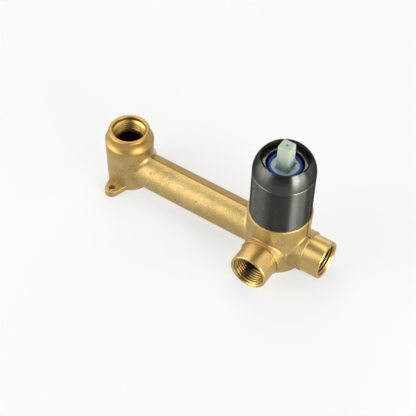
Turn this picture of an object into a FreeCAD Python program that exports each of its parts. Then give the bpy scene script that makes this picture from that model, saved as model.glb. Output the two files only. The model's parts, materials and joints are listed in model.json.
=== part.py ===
"""Concealed basin mixer body: a cast brass body with two inlets, an arm to the spout boss and
a cartridge tower, with its ceramic cartridge, retaining nut, sleeve and dome cap.

Millimetres. The origin is on the cartridge axis at the foot of the casting, +X runs from the
spout towards the cartridge and the right inlet, +Y to the back, +Z up the cartridge axis.
"""
import FreeCAD, Part
import math
import os

import Sketcher

V = FreeCAD.Vector
RIGHT = V(1, 0, 0)
FRONT = V(0, -1, 0)
UP = V(0, 0, 1)
# Distances within which a point counts as on a skin, or an edge as level with a face.
TOUCH = 1e-4
LEVEL = 1e-6

# Driving dimensions: lengths in millimetres, angles in degrees.
DIMENSIONS = {
    # casting
    "arm_length": 114.0,
    "arm_height": 13.4,
    "arm_radius": 11.95,
    "arm_bore_radius": 7.0,
    "parting_step": 0.75,
    "boss_foot_radius": 14.95,
    "boss_radius": 15.8,
    "housing_foot_radius": 18.95,
    "housing_radius": 20.2,
    "housing_height": 40.3,
    "housing_edge": 0.7,
    "housing_front_shift": 0.25,
    "housing_back_shift": 0.15,
    "draft_depth": 9.0,
    "boss_fillet": 3.0,
    "arm_fillet": 3.0,
    "neck_fillet": 0.75,
    "bore_end": 9.0,
    "passage_overrun": 2.0,
    "mould_size": 200.0,
    # spout end, turned
    "flare_bottom": 33.1,
    "flare_band": 1.2,
    "flare_radius": 7.0,
    "flare_top": 39.2,
    "spout_height": 42.8,
    "spout_radius": 13.5,
    "spout_edge": 1.6,
    "spout_lip": 0.9,
    "spout_mouth_radius": 10.9,
    "spout_mouth_depth": 3.9,
    "spout_thread_depth": 11.6,
    "spout_hole_radius": 9.0,
    "spout_hole_foot": 5.0,
    "thread_radius": 10.48,
    # inlets, turned
    "inlet_height": 13.7,
    "inlet_reach": 35.6,
    "inlet_radius": 12.46,
    "inlet_edge": 0.8,
    "inlet_mouth_radius": 11.2,
    "inlet_thread_depth": 13.0,
    "inlet_bore_radius": 6.5,
    "front_collar": 13.8,
    "right_collar": 12.7,
    "neck_radius": 13.45,
    "right_neck_radius": 13.05,
    "right_neck_step": 0.5,
    "neck_edge": 0.35,
    # fixing lugs at the spout's foot
    "lug_reach": 20.25,
    "lug_root": 9.0,
    "lug_lean": 15.0,
    "lug_tip_radius": 4.75,
    "front_lug_turn": -2.0,
    "back_lug_turn": 178.0,
    "lug_thickness": 4.2,
    "lug_edge": 0.6,
    "lug_hole_radius": 2.15,
    "pip_radius": 0.9,
    "pip_height": 18.0,
    "pip_angle": -45.0,
    # cartridge tower, turned
    "tower_radius": 18.1,
    "tower_thread_radius": 16.8,
    "tower_shoulder": 65.5,
    "tower_top": 75.5,
    "ring_groove_radius": 16.5,
    "ring_groove_bottom": 44.0,
    "ring_groove_width": 2.2,
    "cartridge_bore_radius": 12.6,
    "nut_thread_radius": 14.0,
    "nut_thread_bottom": 68.0,
    "seat": 47.5,
    # sleeve and dome cap
    "sleeve_radius": 19.32,
    "sleeve_bore_radius": 18.37,
    "crease": 74.3,
    "crease_bevel": 0.22,
    "dome_radius": 18.2,
    "dome_wall": 1.3,
    "dome_opening": 15.1,
    "dome_top": 85.85,
    "dome_lip": 83.9,
    "dome_ledge": 76.0,
    "dome_ledge_radius": 17.9,
    "skirt_radius": 18.2,
    "skirt_bore_radius": 16.85,
    "skirt_bottom": 66.5,
    "o_ring_section": 0.9,
    # retaining nut
    "nut_top": 81.0,
    "nut_flats": 24.0,
    "nut_bore_radius": 11.65,
    "nut_lip": 0.2,
    "nut_flange_radius": 15.9,
    "nut_flange_bottom": 75.9,
    "nut_hex_bottom": 77.6,
        "nut_bevel_radius": 13.3,
    "nut_bevel_rise": 1.73,
    "nut_turn": 25.0,
    # cartridge housing, base and discs
    "shoulder": 69.5,
    "case_radius": 12.45,
    "case_neck_radius": 10.32,
    "case_top": 79.74,
    "case_edge": 0.35,
    "case_bore_radius": 8.75,
    "case_cavity_radius": 11.3,
    "case_cavity_top": 68.2,
    "case_foot": 49.5,
    "base_radius": 11.25,
    "base_top": 53.6,
    "peg_radius": 1.4,
    "peg_spread": 9.3,
    "peg_length": 2.5,
    "peg_clearance": 0.1,
    "peg_hole_room": 0.5,
    "inlet_port_radius": 2.2,
    "inlet_port_side": 3.4,
    "inlet_port_front": 3.9,
    "outlet_port_radius": 3.0,
    "outlet_port_back": 4.0,
    "seal_width": 1.1,
    "seal_height": 1.2,
    "disc_thickness": 2.95,
    "film": 0.05,
    "fixed_disc_radius": 11.2,
    "moving_disc_radius": 9.2,
    "moving_disc_back": 1.9,
    "chamber_half": 4.6,
    "chamber_front": 1.0,
    "chamber_back": 7.6,
    "chamber_depth": 1.4,
    # disc carrier
    "carrier_plate": 1.8,
    "carrier_half": 6.5,
    "carrier_front": 4.5,
    "carrier_back": 6.5,
    "carrier_top": 63.5,
    "cup_half": 4.4,
    "cup_depth_half": 4.2,
    "cup_top": 67.2,
    "pocket_half": 3.6,
    "pocket_depth_half": 2.7,
    "pocket_floor": 62.8,
    # rotor
    "rotor_radius": 8.71,
    "rotor_top": 78.6,
    "rotor_flange_radius": 10.9,
    "rotor_flange_top": 68.0,
    "rotor_foot": 61.6,
    "slot_half": 4.75,
    "slot_front": 4.65,
    "slot_back": 5.9,
    "slot_floor": 72.5,
    "leg_room_front": 6.0,
    "leg_room_floor": 67.6,
    "cup_room_half": 4.75,
    "cup_room_front": 8.5,
    "cup_room_back": 4.75,
    "channel_half": 6.6,
    "channel_top": 63.8,
    "pivot_height": 76.6,
    "pin_radius": 1.0,
    "pin_half": 7.9,
    "pin_clearance": 0.04,
    # stem
    "stem_base_side": 4.2,
    "stem_base_half": 4.5,
    "stem_top_half": 4.0,
    "stem_top": 96.3,
    "stem_bevel": 0.45,
    "stem_corner": 0.75,
    "dimple_radius": 1.2,
    "dimple_depth": 1.2,
    "trunnion_radius": 1.7,
    "trunnion_half": 4.6,
    "leg_half": 3.2,
    "leg_thickness_half": 1.6,
    "leg_taper_foot": 71.0,
    "toe_height": 65.5,
    "toe_radius": 2.4,
}


class Size:
    """A number together with the sheet expression that gives it."""

    def __init__(self, value, text):
        self.value = value
        self.text = text

    def combined(self, other, sign, value):
        return Size(value, f"({self.text} {sign} {sized(other).text})")

    def __add__(self, other):
        return self.combined(other, "+", self.value + sized(other).value)

    def __sub__(self, other):
        return self.combined(other, "-", self.value - sized(other).value)

    def __mul__(self, other):
        return self.combined(other, "*", self.value * sized(other).value)

    def __truediv__(self, other):
        return self.combined(other, "/", self.value / sized(other).value)

    def __neg__(self):
        return Size(-self.value, f"(-1 * {self.text})")


def sized(number):
    """A plain number as a Size, and a Size as it is."""
    return number if isinstance(number, Size) else Size(float(number), repr(float(number)))


def sine(angle):
    return Size(math.sin(math.radians(angle.value)), f"sin({angle.text} * 1 deg)")


def cosine(angle):
    return Size(math.cos(math.radians(angle.value)), f"cos({angle.text} * 1 deg)")


class Sheet:
    """The driving dimensions as attributes, each a Size bound to its own sheet cell."""

    def __init__(self, document, dimensions):
        self.sheet = document.addObject("Spreadsheet::Sheet", "dim")
        for row, (alias, value) in enumerate(dimensions.items(), start=1):
            self.sheet.set(f"A{row}", alias.replace("_", " "))
            self.sheet.set(f"B{row}", str(value))
            self.sheet.setAlias(f"B{row}", alias)
            setattr(self, alias, Size(value, f"dim.{alias}"))


doc = FreeCAD.newDocument("basin_mixer_body")
d = Sheet(doc, DIMENSIONS)
doc.recompute()
sub_parts = []


def bind(thing, **properties):
    """Binds an object's properties to sheet expressions."""
    for name, size in properties.items():
        thing.setExpression(name, sized(size).text)


def put(thing, at, along=UP, rotation=None):
    """Turns an object's own Z axis along a direction, or by a rotation, and binds its place."""
    thing.Placement = FreeCAD.Placement(V(), rotation or FreeCAD.Rotation(UP, along))
    for axis, size in zip("xyz", at):
        thing.setExpression(f"Placement.Base.{axis}", sized(size).text)
    return thing


def rod(name, radius, length, at, along=UP):
    bar = doc.addObject("Part::Cylinder", name)
    bind(bar, Radius=radius, Height=length)
    return put(bar, at, along)


def cone(name, start_radius, end_radius, length, at, along=UP):
    taper = doc.addObject("Part::Cone", name)
    bind(taper, Radius1=start_radius, Radius2=end_radius, Height=length)
    return put(taper, at, along)


def block(name, low, high):
    """A box between two opposite corners."""
    box = doc.addObject("Part::Box", name)
    length, width, height = (sized(b) - a for a, b in zip(low, high))
    bind(box, Length=length, Width=width, Height=height)
    return put(box, low)


def fuse(name, *things):
    joined = doc.addObject("Part::MultiFuse", name)
    joined.Shapes = list(things)
    joined.Refine = True
    return joined


def cut(name, base, *tools):
    remains = doc.addObject("Part::Cut", name)
    remains.Base = base
    remains.Tool = tools[0] if len(tools) == 1 else fuse(name + "_tools", *tools)
    remains.Refine = True
    return remains


def common(name, first, second):
    shared = doc.addObject("Part::Common", name)
    shared.Base = first
    shared.Tool = second
    return shared


def sub_part(thing, label):
    """Names a finished piece, which is written to a file of that name."""
    thing.Label = label
    sub_parts.append(thing)
    return thing


def origin_plane(body, role):
    return next(plane for plane in body.Origin.OriginFeatures if plane.Role == role)


def sketch_on(body, role, name):
    sketch = body.newObject("Sketcher::SketchObject", name)
    sketch.AttachmentSupport = (origin_plane(body, role), [""])
    sketch.MapMode = "FlatFace"
    return sketch


def pin_point(sketch, edge, end, across, upward):
    """Holds one end of a sketch edge at a place given by two sizes from the sketch's origin."""
    for kind, axis, size in (("DistanceX", -2, sized(across)), ("DistanceY", -1, sized(upward))):
        if size.value == 0:
            sketch.addConstraint(Sketcher.Constraint("PointOnObject", edge, end, axis))
            continue
        place = sketch.addConstraint(Sketcher.Constraint(kind, -1, 1, edge, end, size.value))
        sketch.setExpression(f"Constraints[{place}]", size.text)


def arc_between(start, end, radius):
    """The minor arc of a given radius from start to end; a positive radius turns left."""
    chord = end - start
    middle = (start + end) * 0.5
    reach = math.sqrt(radius ** 2 - (chord.Length / 2) ** 2)
    left = V(-chord.y, chord.x, 0).normalize()
    centre = middle + left * math.copysign(reach, radius)
    sagitta = (middle - centre).normalize() * abs(radius)
    return Part.Arc(start, centre + sagitta, end)


def outline(sketch, points):
    """Draws a closed outline. A point is (across, upward), or (across, upward, radius) where a
    round stretch leads to the next point, turning left for a positive radius."""
    spots = [V(sized(point[0]).value, sized(point[1]).value, 0) for point in points]
    count = len(points)
    for index, point in enumerate(points):
        start, end = spots[index], spots[(index + 1) % count]
        if len(point) == 2:
            sketch.addGeometry(Part.LineSegment(start, end))
        else:
            sketch.addGeometry(arc_between(start, end, sized(point[2]).value))
    for index, point in enumerate(points):
        following = (index + 1) % count
        ends = [2, 1]
        for place, edge in enumerate((index, following)):
            if len(points[edge]) == 3 and sized(points[edge][2]).value < 0:
                ends[place] = 3 - ends[place]
        sketch.addConstraint(Sketcher.Constraint("Coincident", index, ends[0], following, ends[1]))
        pin_point(sketch, following, ends[1], *points[following][:2])
        if len(point) == 3:
            radius = sized(point[2])
            size = radius if radius.value > 0 else -radius
            place = sketch.addConstraint(Sketcher.Constraint("Radius", index, size.value))
            sketch.setExpression(f"Constraints[{place}]", size.text)


def turned(name, points):
    """A body of revolution about Z from an outline of (radius, height) points."""
    body = doc.addObject("PartDesign::Body", name)
    sketch = sketch_on(body, "XZ_Plane", name + "_profile")
    outline(sketch, points)
    turn = body.newObject("PartDesign::Revolution", name + "_turn")
    turn.Profile = sketch
    turn.ReferenceAxis = (sketch, ["V_Axis"])
    turn.Angle = 360
    return body


def tube(name, bore, radius, bottom, top):
    return turned(name, [(bore, bottom), (radius, bottom), (radius, top), (bore, top)])


def lies_on(edge, *solids):
    """Whether the middle of an edge is on the skin of every one of some solids."""
    first, last = edge.ParameterRange
    spot = Part.Vertex(edge.valueAt(0.5 * (first + last)))
    return all(spot.distToShape(Part.Shell(solid.Shape.Faces))[0] < TOUCH for solid in solids)


def softened(kind, name, base, amount_at):
    """Rounds or bevels every edge of base for which amount_at(edge) gives a size."""
    doc.recompute()
    amounts = [amount_at(edge) for edge in base.Shape.Edges]
    soft = doc.addObject(kind, name)
    soft.Base = base
    soft.Edges = [(number, size.value, size.value) for number, size in enumerate(amounts, start=1) if size]
    return soft


def rounded(name, base, amount_at):
    return softened("Part::Fillet", name, base, amount_at)


def bevelled(name, base, amount_at):
    return softened("Part::Chamfer", name, base, amount_at)


def casting_half(name, is_front):
    """One side of the mould's parting plane: boss, arm, housing and necks with cast fillets.
    The sides don't meet level: at the back the arm is a step smaller, the housing stands further
    to the right and the right neck is a step larger."""
    if is_front:
        arm_radius = d.arm_radius
        right_neck_radius = d.right_neck_radius
        housing_shift = -d.housing_front_shift
    else:
        arm_radius = d.arm_radius - d.parting_step
        right_neck_radius = d.right_neck_radius + d.right_neck_step
        housing_shift = d.housing_back_shift
    below = d.draft_depth
    boss_slope = (d.boss_radius - d.boss_foot_radius) / d.flare_bottom
    boss = cone(name + "_boss", d.boss_foot_radius - boss_slope * below, d.boss_radius,
                d.flare_bottom + below, (-d.arm_length, 0, -below))
    arm = rod(name + "_arm", arm_radius, d.arm_length, (-d.arm_length, 0, d.arm_height), RIGHT)
    slope = (d.housing_radius - d.housing_foot_radius) / d.housing_height
    housing = cone(name + "_housing", d.housing_foot_radius - slope * below, d.housing_radius,
                   d.housing_height + below, (housing_shift, 0, -below))
    necks = [rod(name + "_right_neck", right_neck_radius, d.inlet_reach - d.right_collar,
                 (0, 0, d.inlet_height), RIGHT)]
    if is_front:
        necks.append(rod(name + "_front_neck", d.neck_radius, d.inlet_reach - d.front_collar,
                         (0, 0, d.inlet_height), FRONT))
    rough = fuse(name + "_rough", boss, arm, housing, *necks)
    right_end = (d.inlet_reach - d.right_collar).value
    front_end = (d.inlet_reach - d.front_collar).value

    def cast_radius(edge):
        if lies_on(edge, arm, boss):
            return d.boss_fillet
        if lies_on(edge, arm, housing):
            return d.arm_fillet
        if any(lies_on(edge, neck, housing) for neck in necks):
            return d.neck_fillet
        box = edge.BoundBox
        if box.ZMin > d.housing_height.value - LEVEL:
            return d.housing_edge
        if box.XMin > right_end - LEVEL or box.YMax < LEVEL - front_end:
            return d.neck_edge
        return None

    far = d.mould_size
    near, distant = (-far, 0) if is_front else (0, far)
    mould = block(name + "_mould", (-far, near, 0), (far, distant, far))
    return common(name, rounded(name + "_soft", rough, cast_radius), mould)


def spout_end():
    """Turned top of the spout boss: a band, a concave flare and a collar with a rounded rim."""
    edge = d.spout_edge
    end = turned("spout_end", [
        (0, d.flare_bottom),
        (d.boss_radius, d.flare_bottom),
        (d.boss_radius, d.flare_bottom + d.flare_band, -d.flare_radius),
        (d.spout_radius, d.flare_top),
        (d.spout_radius, d.spout_height - edge, edge),
        (d.spout_radius - edge, d.spout_height),
        (0, d.spout_height)])
    return put(end, (-d.arm_length, 0, 0))


def spout_bore():
    """Rounded lip, smooth mouth, thread and water hole of the spout, the thread at its root
    diameter."""
    thread_end = d.spout_height - d.spout_thread_depth
    mouth_end = d.spout_height - d.spout_mouth_depth
    lip = d.spout_lip
    bore = turned("spout_bore", [
        (0, d.spout_hole_foot),
        (d.spout_hole_radius, d.spout_hole_foot),
        (d.spout_hole_radius, thread_end),
        (d.thread_radius, thread_end),
        (d.thread_radius, mouth_end),
        (d.spout_mouth_radius, mouth_end),
        (d.spout_mouth_radius, d.spout_height - lip, -lip),
        (d.spout_mouth_radius + lip, d.spout_height),
        (0, d.spout_height)])
    return put(bore, (-d.arm_length, 0, 0))


def inlet_collar(name, collar, along):
    """Turned end of an inlet, with a rounded rim."""
    start, end, edge = d.inlet_reach - collar, d.inlet_reach, d.inlet_edge
    ring = turned(name, [
        (0, start),
        (d.inlet_radius, start),
        (d.inlet_radius, end - edge, edge),
        (d.inlet_radius - edge, end),
        (0, end)])
    return put(ring, (0, 0, d.inlet_height), along)


def inlet_bore(name, along):
    """Bevelled mouth, thread and water bore of an inlet, the thread at its root diameter."""
    thread_end = d.inlet_reach - d.inlet_thread_depth
    bevel_end = d.inlet_reach - (d.inlet_mouth_radius - d.thread_radius)
    bore = turned(name, [
        (0, d.bore_end),
        (d.inlet_bore_radius, d.bore_end),
        (d.inlet_bore_radius, thread_end),
        (d.thread_radius, thread_end),
        (d.thread_radius, bevel_end),
        (d.inlet_mouth_radius, d.inlet_reach),
        (0, d.inlet_reach)])
    return put(bore, (0, 0, d.inlet_height), along)


def fixing_lug(name, turn):
    """Flat ear at the foot of the spout boss: straight sides that run into a round tip."""
    tip_across = d.lug_tip_radius * cosine(d.lug_lean)
    tip_out = -d.lug_reach - d.lug_tip_radius * sine(d.lug_lean)
    root_across = tip_across + (-tip_out - d.lug_root) * sine(d.lug_lean) / cosine(d.lug_lean)
    body = doc.addObject("PartDesign::Body", name)
    sketch = sketch_on(body, "XY_Plane", name + "_outline")
    outline(sketch, [
        (-root_across, -d.lug_root),
        (-tip_across, tip_out, d.lug_tip_radius),
        (tip_across, tip_out),
        (root_across, -d.lug_root)])
    pad = body.newObject("PartDesign::Pad", name + "_pad")
    pad.Profile = sketch
    bind(pad, Length=d.lug_thickness)
    put(body, (-d.arm_length, 0, 0), rotation=FreeCAD.Rotation(UP, turn.value))

    def top_edge(edge):
        return d.lug_edge if edge.BoundBox.ZMin > d.lug_thickness.value - LEVEL else None

    return rounded(name + "_soft", body, top_edge)


def lug_hole(name, turn):
    """Rod that bores a lug's screw hole."""
    place = (-d.arm_length + d.lug_reach * sine(turn), -d.lug_reach * cosine(turn), -d.lug_thickness * 0.5)
    return rod(name + "_hole", d.lug_hole_radius, d.lug_thickness * 2, place)


def cartridge_tower():
    """Turned tower above the housing, with a ring groove and a reduced thread for the cap."""
    groove_top = d.ring_groove_bottom + d.ring_groove_width
    return turned("tower", [
        (0, d.housing_height),
        (d.tower_radius, d.housing_height),
        (d.tower_radius, d.ring_groove_bottom),
        (d.ring_groove_radius, d.ring_groove_bottom),
        (d.ring_groove_radius, groove_top),
        (d.tower_radius, groove_top),
        (d.tower_radius, d.tower_shoulder),
        (d.tower_thread_radius, d.tower_shoulder),
        (d.tower_thread_radius, d.tower_top),
        (0, d.tower_top)])


def waterway(name, radius, low, high):
    """A straight round passage from a bore in the casting up through the cartridge seat."""
    ends = [V(*(sized(size).value for size in point)) for point in (low, high)]
    along = ends[1] - ends[0]
    return rod(name, radius, d.passage_overrun + along.Length, low, along)


def ports():
    """Name, place and radius of the three openings between the seat and the discs."""
    side, front = d.inlet_port_side, -d.inlet_port_front
    return [
        ("front_inlet", -side, front, d.inlet_port_radius),
        ("right_inlet", side, front, d.inlet_port_radius),
        ("outlet", sized(0), d.outlet_port_back, d.outlet_port_radius)]


def brass_body():
    """The casting with its turned ends, bored waterways and cartridge seat, as one piece."""
    pip_out = d.housing_foot_radius
    pip = doc.addObject("Part::Sphere", "casting_pip")
    bind(pip, Radius=d.pip_radius)
    put(pip, (pip_out * cosine(d.pip_angle), pip_out * sine(d.pip_angle), d.pip_height))
    lugs = [("front_lug", d.front_lug_turn), ("back_lug", d.back_lug_turn)]
    solid = fuse(
        "brass_solid",
        casting_half("front_half", True),
        casting_half("back_half", False),
        spout_end(),
        inlet_collar("front_collar_solid", d.front_collar, FRONT),
        inlet_collar("right_collar_solid", d.right_collar, RIGHT),
        cartridge_tower(),
        pip,
        *(fixing_lug(name, turn) for name, turn in lugs))
    reach = d.bore_end + d.inlet_bore_radius * 0.5
    bore_starts = {
        "front_inlet": (sized(0), -reach, d.inlet_height),
        "right_inlet": (reach, sized(0), d.inlet_height),
        "outlet": (-reach, sized(0), d.arm_height)}
    passages = [waterway(name + "_waterway", radius, bore_starts[name], (x, y, d.seat))
                for name, x, y, radius in ports()]
    peg_hole_depth = d.peg_length + d.peg_hole_room
    peg_holes = [rod(f"peg_hole_{number}", d.peg_radius + d.peg_clearance, peg_hole_depth,
                     (d.peg_spread * side, 0, d.seat - peg_hole_depth))
                 for number, side in enumerate((-1, 1), start=1)]
    body = cut(
        "brass_bored", solid,
        spout_bore(),
        rod("arm_bore", d.arm_bore_radius, d.arm_length - d.bore_end,
            (-d.arm_length, 0, d.arm_height), RIGHT),
        inlet_bore("front_bore", FRONT),
        inlet_bore("right_bore", RIGHT),
        rod("cartridge_bore", d.cartridge_bore_radius, d.tower_top - d.seat, (0, 0, d.seat)),
        rod("nut_bore", d.nut_thread_radius, d.tower_top - d.nut_thread_bottom,
            (0, 0, d.nut_thread_bottom)),
        *(lug_hole(name, turn) for name, turn in lugs), *passages, *peg_holes)
    return sub_part(body, "brass_body")


def sleeve():
    """Thin tube over the tower, standing on the housing's edge."""
    bevel = d.crease_bevel
    return sub_part(turned("sleeve_tube", [
        (d.sleeve_bore_radius, d.housing_height),
        (d.sleeve_radius - bevel, d.housing_height),
        (d.sleeve_radius, d.housing_height + bevel),
        (d.sleeve_radius, d.crease - bevel),
        (d.sleeve_radius - bevel, d.crease),
        (d.sleeve_bore_radius, d.crease)]), "sleeve")


def dome_cap():
    """Domed cap with a threaded skirt inside the sleeve and a round opening at its top."""
    bevel = d.crease_bevel
    return sub_part(turned("dome", [
        (d.skirt_bore_radius, d.skirt_bottom),
        (d.skirt_radius, d.skirt_bottom),
        (d.skirt_radius, d.crease),
        (d.sleeve_radius - bevel, d.crease),
        (d.sleeve_radius, d.crease + bevel, d.dome_radius),
        (d.dome_opening, d.dome_top),
        (d.dome_opening, d.dome_lip, d.dome_wall - d.dome_radius),
        (d.dome_ledge_radius, d.dome_ledge),
        (d.skirt_bore_radius, d.dome_ledge)]), "dome_cap")


def sleeve_ring():
    """Rubber ring in the tower's groove, which holds the sleeve."""
    ring = doc.addObject("Part::Torus", "ring")
    bind(ring, Radius1=d.sleeve_bore_radius - d.film - d.o_ring_section, Radius2=d.o_ring_section)
    put(ring, (0, 0, d.ring_groove_bottom + d.ring_groove_width / 2))
    return sub_part(ring, "sleeve_o_ring")


def retaining_nut():
    """Hexagon nut with a flange and a threaded skirt that bears on the cartridge's shoulder."""
    height = d.nut_top - d.nut_hex_bottom
    hexagon = doc.addObject("Part::Prism", "nut_hexagon")
    hexagon.Polygon = 6
    bind(hexagon, Circumradius=d.nut_flats / math.sqrt(3), Height=height)
    put(hexagon, (0, 0, d.nut_hex_bottom), rotation=FreeCAD.Rotation(UP, d.nut_turn.value))
    bevel = cone("nut_bevel", d.nut_bevel_radius + height * d.nut_bevel_rise, d.nut_bevel_radius, height,
                 (0, 0, d.nut_hex_bottom))
    skirt_radius = d.nut_thread_radius - d.film
    skirt = turned("nut_skirt", [
        (0, d.shoulder),
        (skirt_radius, d.shoulder),
        (skirt_radius, d.nut_flange_bottom),
        (d.nut_flange_radius, d.nut_flange_bottom),
        (d.nut_flange_radius, d.nut_hex_bottom),
        (0, d.nut_hex_bottom)])
    bore = turned("nut_bore_tool", [
        (0, d.shoulder),
        (d.nut_bore_radius, d.shoulder),
        (d.nut_bore_radius, d.nut_top - d.nut_lip),
        (d.nut_bore_radius + d.nut_lip, d.nut_top),
        (0, d.nut_top)])
    whole = fuse("nut_solid", skirt, common("nut_hex", hexagon, bevel))
    return sub_part(cut("nut", whole, bore), "retaining_nut")


def cartridge_housing():
    """Moulded case of the cartridge, with the neck that guides the rotor."""
    edge = d.case_edge
    return sub_part(turned("case", [
        (d.case_cavity_radius, d.case_foot),
        (d.case_radius, d.case_foot),
        (d.case_radius, d.shoulder),
        (d.case_neck_radius, d.shoulder),
        (d.case_neck_radius, d.case_top - edge),
        (d.case_neck_radius - edge, d.case_top),
        (d.case_bore_radius, d.case_top),
        (d.case_bore_radius, d.case_cavity_top),
        (d.case_cavity_radius, d.case_cavity_top)]), "cartridge_housing")


def port_rods(name, bottom, top, wider=0):
    """Upright rods at the three ports, for boring the base and the fixed disc."""
    return [rod(f"{name}_{port}", radius + wider, top - bottom, (x, y, bottom))
            for port, x, y, radius in ports()]


def cartridge_base():
    """Moulded floor of the cartridge: ports, seal grooves on both sides and locating pegs."""
    plug = turned("base_plug", [
        (0, d.seat),
        (d.case_radius, d.seat),
        (d.case_radius, d.case_foot),
        (d.base_radius, d.case_foot),
        (d.base_radius, d.base_top),
        (0, d.base_top)])
    pegs = [rod(f"peg_{number}", d.peg_radius, d.peg_length,
                (d.peg_spread * side, 0, d.seat - d.peg_length))
            for number, side in enumerate((-1, 1), start=1)]
    tools = port_rods("base_port", d.seat, d.base_top)
    tools += port_rods("base_groove", d.seat, d.seat + d.seal_height, d.seal_width)
    tools += port_rods("disc_groove", d.base_top - d.seal_height, d.base_top, d.seal_width)
    return sub_part(cut("base", fuse("base_solid", plug, *pegs), *tools), "cartridge_base")


def port_seals():
    """Rubber rings round each port, under the base and under the fixed disc."""
    for side, bottom in (("seat", d.seat), ("disc", d.base_top - d.seal_height)):
        for port, x, y, radius in ports():
            ring = tube(f"{side}_{port}_ring", radius, radius + d.seal_width, bottom,
                        bottom + d.seal_height)
            put(ring, (x, y, 0))
            sub_part(ring, f"{side}_seal_{port}")


def fixed_disc():
    """Ceramic disc with the three ports, resting on the base."""
    top = d.base_top + d.disc_thickness
    plate = rod("fixed_plate", d.fixed_disc_radius, d.disc_thickness, (0, 0, d.base_top))
    return sub_part(cut("fixed", plate, *port_rods("fixed_port", d.base_top, top)), "fixed_disc")


def moving_disc():
    """Ceramic disc that slides and turns on the fixed one, with a mixing chamber underneath."""
    bottom = d.base_top + d.disc_thickness + d.film
    plate = rod("moving_plate", d.moving_disc_radius, d.disc_thickness, (0, d.moving_disc_back, bottom))
    chamber = block("chamber", (-d.chamber_half, -d.chamber_front, bottom),
                    (d.chamber_half, d.chamber_back, bottom + d.chamber_depth))
    return sub_part(cut("moving", plate, chamber), "moving_disc")


def disc_carrier():
    """Slider on the moving disc: a plate, a guide block and a cup for the stem's toe."""
    bottom = d.base_top + d.disc_thickness * 2 + d.film
    plate_top = bottom + d.carrier_plate
    plate = rod("carrier_plate_solid", d.moving_disc_radius, d.carrier_plate,
                (0, d.moving_disc_back, bottom))
    guide = block("carrier_guide", (-d.carrier_half, -d.carrier_front, plate_top),
                  (d.carrier_half, d.carrier_back, d.carrier_top))
    cup = block("carrier_cup", (-d.cup_half, -d.cup_depth_half, d.carrier_top),
                (d.cup_half, d.cup_depth_half, d.cup_top))
    pocket = block("carrier_pocket", (-d.pocket_half, -d.pocket_depth_half, d.pocket_floor),
                   (d.pocket_half, d.pocket_depth_half, d.cup_top))
    return sub_part(cut("carrier", fuse("carrier_solid", plate, guide, cup), pocket), "disc_carrier")


def rotor():
    """Turning seat of the stem in the case's neck, slotted for the stem and the slider."""
    solid = turned("rotor_solid", [
        (0, d.rotor_foot),
        (d.rotor_flange_radius, d.rotor_foot),
        (d.rotor_flange_radius, d.rotor_flange_top),
        (d.rotor_radius, d.rotor_flange_top),
        (d.rotor_radius, d.rotor_top),
        (0, d.rotor_top)])
    slot = block("stem_slot", (-d.slot_half, -d.slot_front, d.slot_floor),
                 (d.slot_half, d.slot_back, d.rotor_top))
    leg_room = block("leg_room", (-d.slot_half, -d.leg_room_front, d.leg_room_floor),
                     (d.slot_half, d.cup_room_back, d.slot_floor))
    cup_room = block("cup_room", (-d.cup_room_half, -d.cup_room_front, d.channel_top),
                     (d.cup_room_half, d.cup_room_back, d.leg_room_floor))
    channel = block("channel", (-d.channel_half, -d.rotor_flange_radius, d.rotor_foot),
                    (d.channel_half, d.rotor_flange_radius, d.channel_top))
    pin_hole = rod("rotor_pin_hole", d.pin_radius, d.rotor_radius * 2,
                   (-d.rotor_radius, 0, d.pivot_height), RIGHT)
    return sub_part(cut("rotor_cut", solid, slot, leg_room, cup_room, channel, pin_hole), "rotor")


def pivot_pin():
    """Steel pin across the rotor, on which the stem tilts."""
    return sub_part(rod("pin", d.pin_radius, d.pin_half * 2, (-d.pin_half, 0, d.pivot_height), RIGHT),
                    "pivot_pin")


def stem():
    """Square stem: a tapered bevelled end for the handle, trunnion bosses on the pin, and a leg
    with a round toe that moves the slider."""
    spindle = doc.addObject("Part::Wedge", "stem_spindle")
    side, base, top = d.stem_base_side, d.stem_base_half, d.stem_top_half
    bind(spindle, Xmin=-side, Xmax=side, Zmin=-base, Zmax=base, X2min=-top, X2max=top, Z2min=-top,
         Z2max=top, Ymin=0, Ymax=d.stem_top - d.pivot_height)
    put(spindle, (0, 0, d.pivot_height), rotation=FreeCAD.Rotation(RIGHT, 90))
    flank_foot = d.pivot_height.value + LEVEL
    crown = d.stem_top.value - LEVEL

    def long_edge(edge):
        box = edge.BoundBox
        return d.stem_corner if box.ZMin < flank_foot and box.ZMax > crown else None

    def crown_edge(edge):
        return d.stem_bevel if edge.BoundBox.ZMin > crown else None

    handle_end = bevelled("stem_crown", rounded("stem_flanks", spindle, long_edge), crown_edge)
    leg = doc.addObject("PartDesign::Body", "stem_leg")
    sketch = sketch_on(leg, "YZ_Plane", "stem_leg_side")
    outline(sketch, [
        (-d.leg_thickness_half, d.toe_height),
        (d.leg_thickness_half, d.toe_height),
        (d.leg_thickness_half, d.leg_taper_foot),
        (base, d.pivot_height),
        (-base, d.pivot_height),
        (-d.leg_thickness_half, d.leg_taper_foot)])
    pad = leg.newObject("PartDesign::Pad", "stem_leg_pad")
    pad.Profile = sketch
    pad.Midplane = True
    bind(pad, Length=d.leg_half * 2)
    toe = rod("stem_toe", d.toe_radius, d.leg_half * 2, (-d.leg_half, 0, d.toe_height), RIGHT)
    trunnions = rod("stem_trunnions", d.trunnion_radius, d.trunnion_half * 2,
                    (-d.trunnion_half, 0, d.pivot_height), RIGHT)
    whole = fuse("stem_solid", handle_end, leg, toe, trunnions)
    pin_hole = rod("stem_pin_hole", d.pin_radius + d.pin_clearance, d.trunnion_half * 2,
                   (-d.trunnion_half, 0, d.pivot_height), RIGHT)
    dimple = cone("stem_dimple", d.dimple_radius / 2, d.dimple_radius, d.dimple_depth,
                  (0, 0, d.stem_top - d.dimple_depth))
    return sub_part(cut("stem_cut", whole, pin_hole, dimple), "stem")


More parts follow.
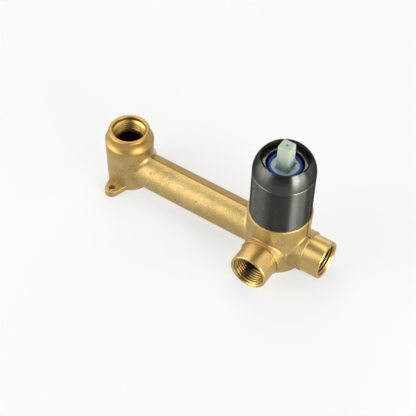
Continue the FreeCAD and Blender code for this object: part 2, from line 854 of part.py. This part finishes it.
def check_document():
    """Stops before anything is written if an object failed or a piece has no sound solid."""
    for thing in doc.Objects:
        if {"Invalid", "Error"} & set(thing.State):
            raise RuntimeError(f"{thing.Name} failed: {thing.State}")
    for piece in sub_parts:
        if piece.Shape.isNull() or not piece.Shape.isValid() or len(piece.Shape.Solids) != 1:
            raise RuntimeError(f"{piece.Label} is not one sound solid")


brass_body()
sleeve()
sleeve_ring()
dome_cap()
retaining_nut()
cartridge_housing()
cartridge_base()
port_seals()
fixed_disc()
moving_disc()
disc_carrier()
rotor()
pivot_pin()
stem()
doc.recompute()
check_document()
os.makedirs("parts", exist_ok=True)
for piece in sub_parts:
    piece.Shape.exportStep(f"parts/{piece.Label}.step")
    print(piece.Label, round(piece.Shape.Volume, 1), "cubic millimetres")
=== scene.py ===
"""Looks of a concealed basin mixer body: a cast brass body with turned ends, threads in its ports,
a brushed gunmetal sleeve and dome, and the plastic cartridge that shows in the dome's opening.

Metres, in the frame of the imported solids: the cartridge axis is Z, the spout is at -X.
"""
import json
import math

import bpy
import numpy as np
from mathutils import Matrix, Vector


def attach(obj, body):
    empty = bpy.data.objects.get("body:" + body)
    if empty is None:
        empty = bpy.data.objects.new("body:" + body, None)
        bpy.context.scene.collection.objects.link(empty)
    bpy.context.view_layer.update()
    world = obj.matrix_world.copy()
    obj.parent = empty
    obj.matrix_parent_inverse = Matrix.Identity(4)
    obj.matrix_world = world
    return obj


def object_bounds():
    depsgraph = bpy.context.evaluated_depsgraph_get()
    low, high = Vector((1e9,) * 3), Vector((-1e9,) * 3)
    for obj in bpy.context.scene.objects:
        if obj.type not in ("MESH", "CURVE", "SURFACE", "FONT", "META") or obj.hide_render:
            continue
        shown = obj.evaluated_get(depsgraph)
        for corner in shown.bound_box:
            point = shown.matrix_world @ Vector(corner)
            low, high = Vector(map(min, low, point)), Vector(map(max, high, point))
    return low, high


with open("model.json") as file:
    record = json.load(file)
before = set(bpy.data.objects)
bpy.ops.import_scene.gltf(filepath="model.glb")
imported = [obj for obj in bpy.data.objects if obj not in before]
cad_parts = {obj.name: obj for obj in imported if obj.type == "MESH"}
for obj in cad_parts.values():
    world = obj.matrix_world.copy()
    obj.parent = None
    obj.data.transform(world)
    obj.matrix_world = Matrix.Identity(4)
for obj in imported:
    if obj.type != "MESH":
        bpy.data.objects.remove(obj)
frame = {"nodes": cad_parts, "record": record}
cad_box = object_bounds()
nodes = frame["nodes"]
mounts = {mount["name"]: mount for mount in frame["record"]["mounts"]}

MM = 0.001

# Places on the casting where turning begins, read along each port's own axis.
FRONT_COLLAR_START = -21.8 * MM
RIGHT_COLLAR_START = 22.9 * MM
FLARE_START = 33.1 * MM
SPOUT_SIDE_END = -60 * MM
FRONT_SIDE_START = -40 * MM

# The arm, between the cast fillets at its two ends.
ARM_START = -98 * MM
ARM_END = -17 * MM

# The sleeve's radius, the height of its joint with the dome, and the length of the brush's hairlines.
SLEEVE_RADIUS = 19.32 * MM
CREASE = 74.3 * MM
HAIRLINE_LENGTH = 7.0 * MM

# Bores left by sand cores or drilled, painted darker, partly for their oxide and partly as painted shade
# deep inside them: where they begin and end behind each mount's place, and how dark they are.
BORE_OXIDE_AND_SHADE = {"front_inlet": (6.2 * MM, 22.7 * MM, 1.0), "right_inlet": (6.2 * MM, 22.7 * MM, 1.0),
         "spout_outlet": (3.9 * MM, 32.9 * MM, 1.0), "front_lug_screw_hole": (-1.9 * MM, 2.0 * MM, 0.45),
         "back_lug_screw_hole": (-1.9 * MM, 2.0 * MM, 0.45)}

# Half-inch parallel pipe thread.
THREAD_PITCH = 1.814 * MM
THREAD_RIDGE = 1.1 * MM
THREAD_BACKING = 0.6 * MM
THREAD_SKIN = 0.02 * MM
INLET_REACH = 35.6 * MM
INLET_MOUTH_RADIUS = 11.2 * MM
INLET_THREAD_START = 0.6 * MM
INLET_THREAD_END = 12.6 * MM
SPOUT_TOP = 42.8 * MM
SPOUT_MOUTH_RADIUS = 10.9 * MM
SPOUT_SHOULDER_START = 2.7 * MM
SPOUT_SHOULDER = 1.9 * MM
SPOUT_THREAD_END = 11.6 * MM

# Camera of the photograph, from a fit to its circles and edges.
CAMERA_AZIMUTH = math.radians(32.0)
CAMERA_ELEVATION = math.radians(49.57)
CAMERA_ROLL = math.radians(2.0)
CAMERA_PLACE = Vector((218.32, -433.09, 604.93)) * MM
CAMERA_LENS = 105.16
SENSOR_WIDTH = 36.0

# Metres from the middle of the part to each lamp, and over which the floor's shadow fades to white.
LAMP_DISTANCE = 0.8
PAPER_SHADOW_REACH = 0.3
PAPER_WHITE_REACH = 0.7


def linear(code):
    """Linear RGBA of an sRGB hex colour."""
    srgb = np.array([int(code[i:i + 2], 16) for i in (1, 3, 5)]) / 255
    rgb = np.where(srgb <= 0.04045, srgb / 12.92, ((srgb + 0.055) / 1.055) ** 2.4)
    return (*rgb.tolist(), 1.0)


def per_metre(size_mm):
    """Texture scale that makes a pattern's features about size_mm wide."""
    return 1.0 / (size_mm * MM)


def add(tree, kind, inputs=None, **settings):
    """Adds a shader node with its settings; an input is a value, or a socket to link from."""
    made = tree.nodes.new("ShaderNode" + kind)
    for name, value in settings.items():
        setattr(made, name, value)
    for key, value in (inputs or {}).items():
        if isinstance(value, bpy.types.NodeSocket):
            tree.links.new(value, made.inputs[key])
        else:
            made.inputs[key].default_value = value
    return made.outputs


def new_material(name):
    """A material with only a Principled shader and its output; returns it, its tree and its shader."""
    material = bpy.data.materials.new(name)
    material.use_nodes = True
    tree = material.node_tree
    return material, tree, tree.nodes["Principled BSDF"]


def drive(tree, shader, **sockets):
    """Links sockets, or sets values, on a shader; names have underscores for spaces."""
    for name, value in sockets.items():
        target = shader.inputs[name.replace("_", " ")]
        if isinstance(value, bpy.types.NodeSocket):
            tree.links.new(value, target)
        else:
            target.default_value = value


# Materials


def window(tree, value, low, high):
    """Mask of where a value lies between two bounds."""
    return add(tree, "Math", {0: value, 1: (low + high) / 2, 2: (high - low) / 2}, operation="COMPARE")[0]


def product(tree, *factors):
    """Factors multiplied together."""
    result = factors[0]
    for factor in factors[1:]:
        result = add(tree, "Math", {0: result, 1: factor}, operation="MULTIPLY")[0]
    return result


def bore_zone(tree, place, mount, start, end):
    """Mask of the walls of a mount's bore between two depths, read from the mount's place against its
    axis."""
    axis = Vector(mount["axis"])
    offset = add(tree, "VectorMath", {0: place, 1: Vector(mount["pos_m"])}, operation="SUBTRACT")[0]
    along = add(tree, "VectorMath", {0: offset, 1: axis}, operation="DOT_PRODUCT")["Value"]
    across = add(tree, "VectorMath", {0: offset, 1: axis}, operation="CROSS_PRODUCT")[0]
    across = add(tree, "VectorMath", {0: across}, operation="LENGTH")["Value"]
    near = add(tree, "Math", {0: across, 1: mount["dims"]["r_mm"] * MM}, operation="LESS_THAN")[0]
    return product(tree, window(tree, along, -end, -start), near)


def turned_zones(tree, axes):
    """Masks of the casting's three turned ends: front inlet, right inlet and spout."""
    front = add(tree, "Math", {0: axes["Y"], 1: FRONT_COLLAR_START}, operation="LESS_THAN")[0]
    near = add(tree, "Math", {0: axes["X"], 1: FRONT_SIDE_START}, operation="GREATER_THAN")[0]
    right = add(tree, "Math", {0: axes["X"], 1: RIGHT_COLLAR_START}, operation="GREATER_THAN")[0]
    high = add(tree, "Math", {0: axes["Z"], 1: FLARE_START}, operation="GREATER_THAN")[0]
    far = add(tree, "Math", {0: axes["X"], 1: SPOUT_SIDE_END}, operation="LESS_THAN")[0]
    return product(tree, front, near), right, product(tree, high, far)


def seam_shadow_zone(tree, axes):
    """Mask of painted shadow along the mould's parting plane, where the back half steps down: a thin dark
    line, and on the arm a darkening that fades out behind the step.
    """
    arm = window(tree, axes["X"], ARM_START, ARM_END)
    line = window(tree, axes["Y"], -0.05 * MM, 0.25 * MM)
    behind = add(tree, "Math", {0: axes["Y"], 1: 0.0}, operation="GREATER_THAN")[0]
    fade = add(tree, "MapRange", {"Value": axes["Y"], 1: 0.5 * MM, 2: 2.0 * MM, 3: 1.0, 4: 0.0})[0]
    return add(tree, "Math", {0: line, 1: product(tree, arm, behind, fade)}, operation="MAXIMUM")[0]


def brass_as_cast_and_turned():
    """Brass sand casting, bead blasted, with ends turned on a lathe and waterways left by sand cores. The
    casting gives a pale satin skin with fine grain, brown patches and a few pits, a dark line painted as
    the shadow where the mould parted, and painted shade on the back of the arm; the turned ends are deeper
    gold, with rings left by the tool, and reflect more sharply, the spout's gold darker as painted shade;
    the bores are painted black-brown, partly for their oxide and partly as the shade deep inside them."""
    material, tree, shader = new_material("brass_sand_cast_blasted_and_turned")
    place = add(tree, "TexCoord")["Object"]
    axes = add(tree, "SeparateXYZ", {0: place})
    front, right, spout = turned_zones(tree, axes)
    turned = add(tree, "Math", {0: front, 1: right}, operation="MAXIMUM")[0]
    turned = add(tree, "Math", {0: turned, 1: spout}, operation="MAXIMUM")[0]
    bore_oxide_and_shade = 0.0
    for name, (start, end, darkness) in BORE_OXIDE_AND_SHADE.items():
        zone = product(tree, bore_zone(tree, place, mounts[name], start, end), darkness)
        bore_oxide_and_shade = add(tree, "Math", {0: zone, 1: bore_oxide_and_shade}, operation="MAXIMUM")[0]

    patches = add(tree, "TexNoise", {"Vector": place, "Scale": per_metre(14), "Detail": 4.0})[0]
    # Sand grain is about 0.4 mm; it is drawn twice as coarse, so that it shows.
    grain = add(tree, "TexNoise", {"Vector": place, "Scale": per_metre(0.9), "Detail": 5.0,
                                   "Roughness": 0.65})[0]
    pit_distance = add(tree, "TexVoronoi", {"Vector": place, "Scale": per_metre(9)})["Distance"]
    pits = add(tree, "MapRange", {"Value": pit_distance, 1: 0.04, 2: 0.09, 3: 1.0, 4: 0.0})[0]
    patch = add(tree, "MapRange", {"Value": patches, 1: 0.42, 2: 0.75})[0]
    skin = add(tree, "Mix", {0: patch, 6: linear("#AF945A"), 7: linear("#92743A")}, data_type="RGBA")[2]
    fleck = add(tree, "MapRange", {"Value": grain, 1: 0.42, 2: 0.75})[0]
    skin = add(tree, "Mix", {0: fleck, 6: skin, 7: linear("#C6B588")}, data_type="RGBA")[2]
    # Painted shade: the back half of the arm, behind the parting plane, is darkened.
    arm = window(tree, axes["X"], ARM_START, ARM_END)
    behind = add(tree, "Math", {0: axes["Y"], 1: 0.0}, operation="GREATER_THAN")[0]
    skin = add(tree, "Mix", {0: product(tree, arm, behind, 0.75), 6: skin, 7: linear("#876A31")},
               data_type="RGBA")[2]
    # Painted shadow of the parting step: a dark line along the parting plane, and a darkening behind the
    # arm's step.
    seam_shadow = product(tree, seam_shadow_zone(tree, axes), 0.75)
    skin = add(tree, "Mix", {0: seam_shadow, 6: skin, 7: linear("#5F4018")}, data_type="RGBA")[2]
    skin = add(tree, "Mix", {0: pits, 6: skin, 7: linear("#816133")}, data_type="RGBA")[2]
    # Painted shade: the spout's turned gold is a darker copy of the collars' gold, to hold down its
    # highlights.
    gold = add(tree, "Mix", {0: spout, 6: linear("#BCA064"), 7: linear("#AC8B4E")}, data_type="RGBA")[2]
    colour = add(tree, "Mix", {0: turned, 6: skin, 7: gold}, data_type="RGBA")[2]
    # The bores' walls painted black-brown: partly oxide, partly painted shade deep inside them.
    colour = add(tree, "Mix", {0: bore_oxide_and_shade, 6: colour, 7: linear("#422A14")}, data_type="RGBA")[2]

    skin_roughness = add(tree, "MapRange", {"Value": grain, 1: 0.3, 2: 0.7, 3: 0.44, 4: 0.58})[0]
    turned_roughness = add(tree, "Mix", {0: spout, 2: 0.36, 3: 0.48})[0]
    roughness = add(tree, "Mix", {0: turned, 2: skin_roughness, 3: turned_roughness})[0]
    roughness = add(tree, "Mix", {0: bore_oxide_and_shade, 2: roughness, 3: 0.85})[0]

    lumps = add(tree, "TexNoise", {"Vector": place, "Scale": per_metre(4.5), "Detail": 2.0})[0]
    along = add(tree, "Mix", {0: right, 2: axes["Y"], 3: axes["X"]})[0]
    along = add(tree, "Mix", {0: spout, 2: along, 3: axes["Z"]})[0]
    # Tool marks are about 0.2 mm apart; they are drawn three times as coarse, so that they show.
    rings = add(tree, "TexNoise", {"W": along, "Scale": per_metre(0.6), "Detail": 3.0},
                noise_dimensions="1D")[0]
    relief = add(tree, "Math", {0: grain, 1: 0.35, 2: lumps}, operation="MULTIPLY_ADD")[0]
    relief = add(tree, "Math", {0: pits, 1: -1.5, 2: relief}, operation="MULTIPLY_ADD")[0]
    relief = add(tree, "Mix", {0: turned, 2: relief, 3: rings})[0]
    depth = add(tree, "Mix", {0: turned, 2: 0.12 * MM, 3: 0.02 * MM})[0]
    bump = add(tree, "Bump", {"Strength": 1.0, "Distance": depth, "Height": relief})[0]
    drive(tree, shader, Base_Color=colour, Metallic=1.0, Roughness=roughness, Normal=bump)
    return material


def brass_cut_thread():
    """Brass cut by a tap: smooth gold crests, with the roots darkened and the crests lightened by the
    ridge's height as painted shade.
    """
    material, tree, shader = new_material("brass_tapped_thread")
    ridge = add(tree, "Attribute", attribute_name="ridge")["Fac"]
    place = add(tree, "TexCoord")["Object"]
    smear = add(tree, "TexNoise", {"Vector": place, "Scale": per_metre(1.5), "Detail": 3.0})[0]
    height = add(tree, "Math", {0: smear, 1: 0.15, 2: ridge}, operation="MULTIPLY_ADD")[0]
    # Painted shade: colour runs from dark at the thread's roots to light at its crests.
    colour = add(tree, "Mix", {0: height, 6: linear("#533716"), 7: linear("#CBA964")}, data_type="RGBA")[2]
    roughness = add(tree, "MapRange", {"Value": smear, 1: 0.3, 2: 0.7, 3: 0.3, 4: 0.4})[0]
    drive(tree, shader, Base_Color=colour, Metallic=1.0, Roughness=roughness)
    return material


def brushed_gunmetal(name, roughness, anisotropy):
    """Brass with a dark grey metal coating, brushed round its axis: dark and satin, with highlights drawn
    out along the axis by as much as the anisotropy says, short hairlines round it, and a painted
    highlight in a pale band along the joint with the dome. Seen edge-on the brushed coating shades itself,
    so its rims stay dark, which the specular tint gives."""
    material, tree, shader = new_material(name)
    place = add(tree, "TexCoord")["Object"]
    axes = add(tree, "SeparateXYZ", {0: place})
    angle = add(tree, "Math", {0: axes["Y"], 1: axes["X"]}, operation="ARCTAN2")[0]
    round_way = add(tree, "Math", {0: angle, 1: SLEEVE_RADIUS / HAIRLINE_LENGTH}, operation="MULTIPLY")[0]
    # Hairlines are about 0.1 mm wide; they are drawn five times as coarse, so that they show.
    upward = add(tree, "Math", {0: axes["Z"], 1: per_metre(0.5)}, operation="MULTIPLY")[0]
    brushed = add(tree, "CombineXYZ", {0: round_way, 1: upward})[0]
    hairs = add(tree, "TexNoise", {"Vector": brushed, "Scale": 1.0, "Detail": 3.0},
                noise_dimensions="2D")[0]
    shade = add(tree, "MapRange", {"Value": hairs, 1: 0.3, 2: 0.7})[0]
    colour = add(tree, "Mix", {0: shade, 6: linear("#484743"), 7: linear("#565550")}, data_type="RGBA")[2]
    # Painted highlight: a pale band along the edge where the sleeve meets the dome.
    edge = window(tree, axes["Z"], CREASE - 0.3 * MM, CREASE + 0.1 * MM)
    colour = add(tree, "Mix", {0: edge, 6: colour, 7: linear("#908E89")}, data_type="RGBA")[2]
    satin = add(tree, "MapRange", {"Value": hairs, 1: 0.3, 2: 0.7,
                                   3: roughness - 0.03, 4: roughness + 0.03})[0]
    bump = add(tree, "Bump", {"Strength": 1.0, "Distance": 0.006 * MM, "Height": hairs})[0]
    tangent = add(tree, "Tangent", direction_type="RADIAL", axis="Z")[0]
    drive(tree, shader, Base_Color=colour, Metallic=1.0, Roughness=satin, Normal=bump,
          Anisotropic=anisotropy, Anisotropic_Rotation=0.25, Tangent=tangent,
          Specular_Tint=(0.2, 0.2, 0.2, 1.0))
    return material


def dull_nickel_plate():
    """Turned brass nut under dull nickel: grey, with a fine mottle and an uneven gloss."""
    material, tree, shader = new_material("nickel_plate_dull")
    place = add(tree, "TexCoord")["Object"]
    marks = add(tree, "TexNoise", {"Vector": place, "Scale": per_metre(0.8), "Detail": 4.0})[0]
    colour = add(tree, "Mix", {0: marks, 6: linear("#4E4C48"), 7: linear("#757470")}, data_type="RGBA")[2]
    roughness = add(tree, "MapRange", {"Value": marks, 1: 0.3, 2: 0.7, 3: 0.24, 4: 0.38})[0]
    drive(tree, shader, Base_Color=colour, Metallic=1.0, Roughness=roughness)
    return material


def moulded_plastic(name, dark, light, flow_mm, roughness, scatter):
    """Injection moulded plastic from a spark-eroded mould: a low gloss over faint cloudy flow marks, with
    some light inside."""
    material, tree, shader = new_material(name)
    place = add(tree, "TexCoord")["Object"]
    flow = add(tree, "TexNoise", {"Vector": place, "Scale": per_metre(flow_mm), "Detail": 4.0})[0]
    # The mould's spark marks are about 0.05 mm; they are drawn five times as coarse, so that they show.
    spark = add(tree, "TexNoise", {"Vector": place, "Scale": per_metre(0.25), "Detail": 2.0})[0]
    colour = add(tree, "Mix", {0: flow, 6: linear(dark), 7: linear(light)}, data_type="RGBA")[2]
    gloss = add(tree, "MapRange", {"Value": spark, 1: 0.3, 2: 0.7,
                                   3: roughness - 0.06, 4: roughness + 0.06})[0]
    bump = add(tree, "Bump", {"Strength": 1.0, "Distance": 0.01 * MM, "Height": spark})[0]
    drive(tree, shader, Base_Color=colour, Roughness=gloss, Normal=bump, Specular_IOR_Level=0.12,
          Subsurface_Weight=scatter, Subsurface_Radius=(1.0, 1.0, 1.0), Subsurface_Scale=1.2 * MM)
    return material


def lapped_ceramic():
    """Alumina disc, lapped flat: off-white, close-grained, with a low sheen."""
    material, tree, shader = new_material("alumina_lapped")
    place = add(tree, "TexCoord")["Object"]
    # The fired grain is about 0.01 mm; it is drawn at 0.3 mm, so that it shows.
    grain = add(tree, "TexNoise", {"Vector": place, "Scale": per_metre(0.3), "Detail": 3.0})[0]
    colour = add(tree, "Mix", {0: grain, 6: linear("#E9E5DA"), 7: linear("#F6F3EB")}, data_type="RGBA")[2]
    drive(tree, shader, Base_Color=colour, Roughness=0.28, IOR=1.77)
    return material


def ground_steel():
    """Stainless pin, centreless ground: an even, bright grey with a fine mottle."""
    material, tree, shader = new_material("stainless_steel_ground")
    place = add(tree, "TexCoord")["Object"]
    # Grinding marks are about 0.05 mm; they are drawn four times as coarse, so that they show.
    marks = add(tree, "TexNoise", {"Vector": place, "Scale": per_metre(0.2), "Detail": 3.0})[0]
    colour = add(tree, "Mix", {0: marks, 6: linear("#A5A5A3"), 7: linear("#CDCDCA")}, data_type="RGBA")[2]
    drive(tree, shader, Base_Color=colour, Metallic=1.0, Roughness=0.25)
    return material


def moulded_rubber():
    """Nitrile rubber ring: near black, matt, with a faint bloom."""
    material, tree, shader = new_material("nitrile_rubber_moulded")
    place = add(tree, "TexCoord")["Object"]
    bloom = add(tree, "TexNoise", {"Vector": place, "Scale": per_metre(1.0), "Detail": 3.0})[0]
    colour = add(tree, "Mix", {0: bloom, 6: linear("#161616"), 7: linear("#2A2A2A")}, data_type="RGBA")[2]
    drive(tree, shader, Base_Color=colour, Roughness=0.6, IOR=1.52)
    return material


def matt_paper():
    """Seamless paper sweep: white and matt, with the faintest mottle. To the camera and in reflections it
    is partly lit from behind near the part, so that its shadow stays soft, and fully further out, where
    the lamps don't reach, so that it stays white."""
    material, tree, shader = new_material("white_paper_sweep")
    place = add(tree, "TexCoord")["Object"]
    mottle = add(tree, "TexNoise", {"Vector": place, "Scale": per_metre(3), "Detail": 2.0})[0]
    colour = add(tree, "Mix", {0: mottle, 6: linear("#F8F8F8"), 7: linear("#FAFAFA")}, data_type="RGBA")[2]
    drive(tree, shader, Base_Color=colour, Roughness=0.9)
    light_path = add(tree, "LightPath")
    seen = light_path["Is Camera Ray"]
    for ray in ("Is Glossy Ray", "Is Transmission Ray"):
        seen = add(tree, "Math", {0: seen, 1: light_path[ray]}, operation="MAXIMUM")[0]
    distance = add(tree, "VectorMath", {0: place}, operation="LENGTH")["Value"]
    backlight = add(tree, "MapRange", {"Value": distance, 1: PAPER_SHADOW_REACH, 2: PAPER_WHITE_REACH,
                                       3: 0.6, 4: 1.0})[0]
    share = product(tree, seen, backlight)
    glow = add(tree, "Emission", {"Color": linear("#FFFFFF"), "Strength": 1.0})[0]
    paper = add(tree, "MixShader", {0: share, 1: shader.outputs[0], 2: glow})[0]
    tree.links.new(paper, tree.nodes["Material Output"].inputs["Surface"])
    return material


# Shapes


def grid_faces(rows, columns):
    """Quads of a grid that closes on itself both ways, as an array of corner numbers."""
    row, column = np.meshgrid(np.arange(rows), np.arange(columns), indexing="ij")
    below, beside = (row + 1) % rows, (column + 1) % columns
    corners = (row * columns + column, row * columns + beside,
               below * columns + beside, below * columns + column)
    return np.stack([corner.ravel() for corner in corners], axis=1)


def new_piece(name, points, faces, material):
    """A smooth mesh object at the origin from arrays of points and quads."""
    mesh = bpy.data.meshes.new(name)
    mesh.from_pydata(points.tolist(), [], faces.tolist())
    mesh.shade_smooth()
    mesh.materials.append(material)
    piece = bpy.data.objects.new(name, mesh)
    bpy.context.scene.collection.objects.link(piece)
    return piece


def port_frame(mount):
    """Two directions across a port's axis and the axis itself, right handed."""
    axis = np.array(mount["axis"], float)
    across = np.array([0.0, 0.0, 1.0]) if abs(axis[2]) < 0.5 else np.array([1.0, 0.0, 0.0])
    return across, np.cross(axis, across), axis


def thread(mount, mouth, start, end, bevel_radius, shoulder, material):
    """Ridges of a pipe thread on a port's wall, as a closed ring.

    At angle a round the axis and depth t from the mouth, the wall stands in from the root radius by the
    ridge height times a flat-topped triangle wave of t / pitch + a / full turn. A shoulder of the given
    length, at full height, comes before the first turn; a bevel at 45 degrees from the mouth trims it and
    the first ridges, and the last ones fade out. Two more rows, behind the port's wall, close the ring
    inside the casting.
    """
    turn_steps, steps_per_pitch = 144, 14
    root = mount["dims"]["r_mm"] * MM
    rows = math.ceil((end - start) / THREAD_PITCH * steps_per_pitch)
    depth = np.linspace(start, end, rows)[:, None]
    angle = np.linspace(0, 2 * np.pi, turn_steps, endpoint=False)[None, :]
    phase = (depth / THREAD_PITCH + angle / (2 * np.pi)) % 1.0
    wave = np.clip((1 - np.abs(2 * phase - 1) - 0.14) / 0.72, 0, 1)
    fade = np.clip((end - depth) / (0.5 * THREAD_PITCH), 0, 1)
    ledge = np.clip((start + shoulder - depth) / (0.25 * THREAD_PITCH), 0, 1)
    height = THREAD_RIDGE * np.maximum(wave, ledge) * fade
    radius = np.maximum(root - THREAD_SKIN - height, bevel_radius - depth)
    radius = np.minimum(radius, np.maximum(root - THREAD_SKIN, bevel_radius - depth + THREAD_SKIN))
    back = np.full((2, turn_steps), root + THREAD_BACKING)
    radius = np.concatenate([radius, back])
    depth = np.concatenate([np.broadcast_to(depth, (rows, turn_steps)),
                            np.full((1, turn_steps), end), np.full((1, turn_steps), start)])
    across, beside, axis = port_frame(mount)
    ring = np.cos(angle)[..., None] * across + np.sin(angle)[..., None] * beside
    points = mouth + radius[..., None] * ring - depth[..., None] * axis
    faces = grid_faces(rows + 2, turn_steps)
    piece = new_piece(mount["name"] + "_thread", points.reshape(-1, 3), faces, material)
    shown = np.clip((root - radius) / THREAD_RIDGE, 0, 1).astype(np.float32)
    shown[:rows] = np.maximum(shown[:rows], ledge)
    piece.data.attributes.new("ridge", "FLOAT", "POINT").data.foreach_set("value", shown.ravel())
    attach(piece, "casting")
    return piece


def dress_nodes():
    """Gives each solid of the frame its material."""
    brass = brass_as_cast_and_turned()
    sleeve = brushed_gunmetal("gunmetal_coating_brushed", 0.4, 1.0)
    dome = brushed_gunmetal("gunmetal_coating_brushed_and_buffed", 0.33, 0.9)
    nickel = dull_nickel_plate()
    blue = moulded_plastic("acetal_blue_moulded", "#15469C", "#1F58B8", 3.0, 0.35, 0.05)
    grey = moulded_plastic("acetal_grey_blue_moulded", "#CEDEDC", "#DAE8E6", 2.5, 0.42, 0.1)
    mint = moulded_plastic("glass_filled_nylon_mint_moulded", "#B9CAB2", "#CAD8C4", 2.5, 0.45, 0.2)
    black = moulded_plastic("glass_filled_nylon_black_moulded", "#141414", "#262626", 2.0, 0.5, 0.0)
    ceramic, steel, rubber = lapped_ceramic(), ground_steel(), moulded_rubber()
    finishes = {"brass_body": brass, "sleeve": sleeve, "dome_cap": dome, "retaining_nut": nickel,
                "cartridge_housing": blue, "rotor": grey, "stem": mint, "cartridge_base": black,
                "disc_carrier": black, "fixed_disc": ceramic, "moving_disc": ceramic, "pivot_pin": steel}
    for name, solid in nodes.items():
        solid.data.materials.clear()
        solid.data.materials.append(finishes.get(name, rubber))


def cut_threads():
    """Threads of the two inlets and the spout."""
    material = brass_cut_thread()
    for name in ("front_inlet", "right_inlet"):
        mount = mounts[name]
        axis = np.array(mount["axis"], float)
        height = np.array([0.0, 0.0, mount["pos_m"][2]])
        mouth = height + axis * INLET_REACH
        thread(mount, mouth, INLET_THREAD_START, INLET_THREAD_END, INLET_MOUTH_RADIUS, 0.0, material)
    spout = mounts["spout_outlet"]
    mouth = np.array([spout["pos_m"][0], spout["pos_m"][1], SPOUT_TOP])
    thread(spout, mouth, SPOUT_SHOULDER_START, SPOUT_THREAD_END, SPOUT_MOUTH_RADIUS + SPOUT_SHOULDER_START,
           SPOUT_SHOULDER, material)


def paper_floor():
    """A wide flat floor under the part's feet."""
    side = 6.0
    corners = np.array([[-1, -1, 0], [1, -1, 0], [1, 1, 0], [-1, 1, 0]]) * side
    corners[:, 2] = cad_box[0].z
    floor = new_piece("floor", corners, np.array([[0, 1, 2, 3]]), matt_paper())


def softbox(name, azimuth, elevation, width, height, power, lights_matt=True):
    """A rectangular lamp that faces the part from a direction given in degrees. One that doesn't light
    matt surfaces is a card, which only shows in reflections."""
    lamp = bpy.data.lights.new(name, "AREA")
    lamp.shape = "RECTANGLE"
    lamp.size, lamp.size_y = width, height
    lamp.energy = power
    holder = bpy.data.objects.new(name, lamp)
    a, e = math.radians(azimuth), math.radians(elevation)
    towards = Vector((math.cos(a) * math.cos(e), math.sin(a) * math.cos(e), math.sin(e)))
    target = (cad_box[0] + cad_box[1]) / 2
    holder.location = target + towards * LAMP_DISTANCE
    holder.rotation_euler = towards.to_track_quat("Z", "Y").to_euler()
    holder.visible_diffuse = lights_matt
    bpy.context.scene.collection.objects.link(holder)


def studio():
    """Softboxes low on the left, right and back, dimmer ones above them, and a dim even room. Cards beside
    them give the metal its highlights; the front stays dark, so that the dark metal shows streaks."""
    softbox("left_softbox", -140, 13, 0.92, 0.37, 4.5)
    softbox("left_fill", -122, 43, 0.46, 0.43, 1.15)
    softbox("right_strip", -19, 13, 0.28, 0.37, 3.2)
    softbox("right_softbox", 4, 13, 0.32, 0.37, 1.6)
    softbox("right_fill", 30, 42, 0.43, 0.43, 1.0)
    softbox("back_softbox", 120, 13, 0.75, 0.37, 1.5)
    softbox("back_fill", 138, 42, 0.7, 0.43, 0.95)
    softbox("overhead_softbox", 120, 68, 0.45, 0.36, 1.6)
    softbox("left_card", -138, 14, 0.29, 0.37, 0.96, lights_matt=False)
    softbox("left_side_card", -180, 42, 0.32, 0.43, 1.2, lights_matt=False)
    softbox("left_front_card", -120, 42, 0.32, 0.43, 1.15, lights_matt=False)
    softbox("right_strip_card", -20, 13, 0.28, 0.37, 4.02, lights_matt=False)
    softbox("right_card", 0, 13, 0.28, 0.37, 1.86, lights_matt=False)
    softbox("right_back_card", 50, 13, 0.58, 0.37, 0.81, lights_matt=False)
    softbox("back_card", 130, 13, 1.3, 0.37, 1.02, lights_matt=False)
    softbox("back_top_card", 128, 50, 0.36, 0.36, 0.69, lights_matt=False)
    softbox("right_top_card", 25, 70, 0.65, 0.34, 1.26, lights_matt=False)
    softbox("left_top_card", -150, 70, 0.65, 0.34, 0.36, lights_matt=False)
    world = bpy.data.worlds.new("room")
    world.use_nodes = True
    background = world.node_tree.nodes["Background"]
    background.inputs["Color"].default_value = linear("#FFFFFF")
    background.inputs["Strength"].default_value = 0.05
    bpy.context.scene.world = world


def photograph_camera():
    """The camera that the photograph was taken with, turned a little about its own axis."""
    data = bpy.data.cameras.new("camera")
    data.sensor_width = SENSOR_WIDTH
    data.lens = CAMERA_LENS
    data.clip_start, data.clip_end = 0.01, 20.0
    camera = bpy.data.objects.new("camera", data)
    back = Vector((math.sin(CAMERA_AZIMUTH) * math.cos(CAMERA_ELEVATION),
                   -math.cos(CAMERA_AZIMUTH) * math.cos(CAMERA_ELEVATION), math.sin(CAMERA_ELEVATION)))
    level = Vector((math.cos(CAMERA_AZIMUTH), math.sin(CAMERA_AZIMUTH), 0))
    upward = back.cross(level)
    right = level * math.cos(CAMERA_ROLL) + upward * math.sin(CAMERA_ROLL)
    turn = Matrix((right, back.cross(right), back)).transposed().to_4x4()
    camera.matrix_world = Matrix.Translation(CAMERA_PLACE) @ turn
    bpy.context.scene.collection.objects.link(camera)
    bpy.context.scene.camera = camera


dress_nodes()
cut_threads()
paper_floor()
studio()
photograph_camera()
bpy.context.scene.view_settings.view_transform = "Standard"
